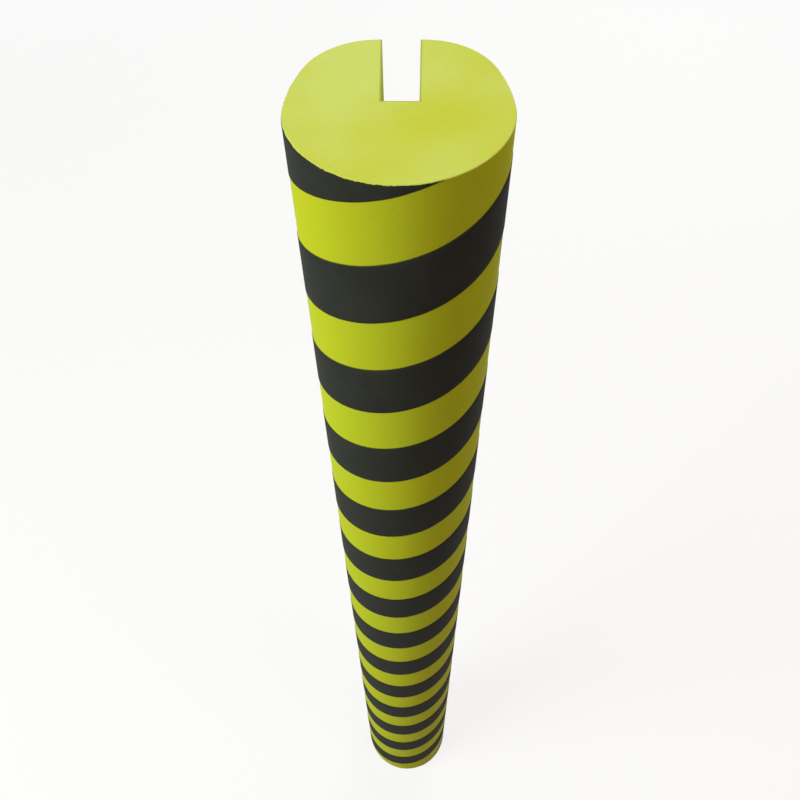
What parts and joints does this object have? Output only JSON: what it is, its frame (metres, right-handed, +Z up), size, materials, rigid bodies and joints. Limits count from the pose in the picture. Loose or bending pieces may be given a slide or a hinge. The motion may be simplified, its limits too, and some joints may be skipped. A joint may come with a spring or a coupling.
{
  "type": "foam impact protector strip",
  "caption": "Soft round-fronted yellow foam bar with slanted black warning bands and a slot along its back, pushed onto a panel or post edge to cushion knocks.",
  "frame": {"origin": "middle of the bottom end, on the surface that the strip stands on", "axes": "+Z up along the strip's length, -Y the round front, +Y out of the slot at the back, +X to the right as seen from the front"},
  "size_m": [0.0998, 0.1008, 1],
  "materials": {
    "foam_yellow": "matt cut foam",
    "skin_yellow": "satin moulded skin",
    "band_black": "matt coat",
    "tape": "foam tape, matt",
    "liner": "silicone-coated paper"
  },
  "bodies": {
    "strip": {"foam_core": "foam_yellow", "skin": "skin_yellow", "adhesive_tape": "tape", "black_band_01": "band_black", "black_band_02": "band_black", "black_band_03": "band_black", "black_band_04": "band_black", "black_band_05": "band_black", "black_band_06": "band_black", "black_band_07": "band_black", "black_band_08": "band_black", "black_band_09": "band_black", "black_band_10": "band_black", "black_band_11": "band_black", "black_band_12": "band_black", "black_band_13": "band_black", "black_band_14": "band_black", "black_band_15": "band_black"},
    "liner": {"release_liner": "liner"}
  },
  "joints": [
    {"name": "liner_peel", "type": "slide", "parent": "strip", "child": "liner", "axis": [0, 1, 0], "range_m": [0, 0.06]}
  ]
}
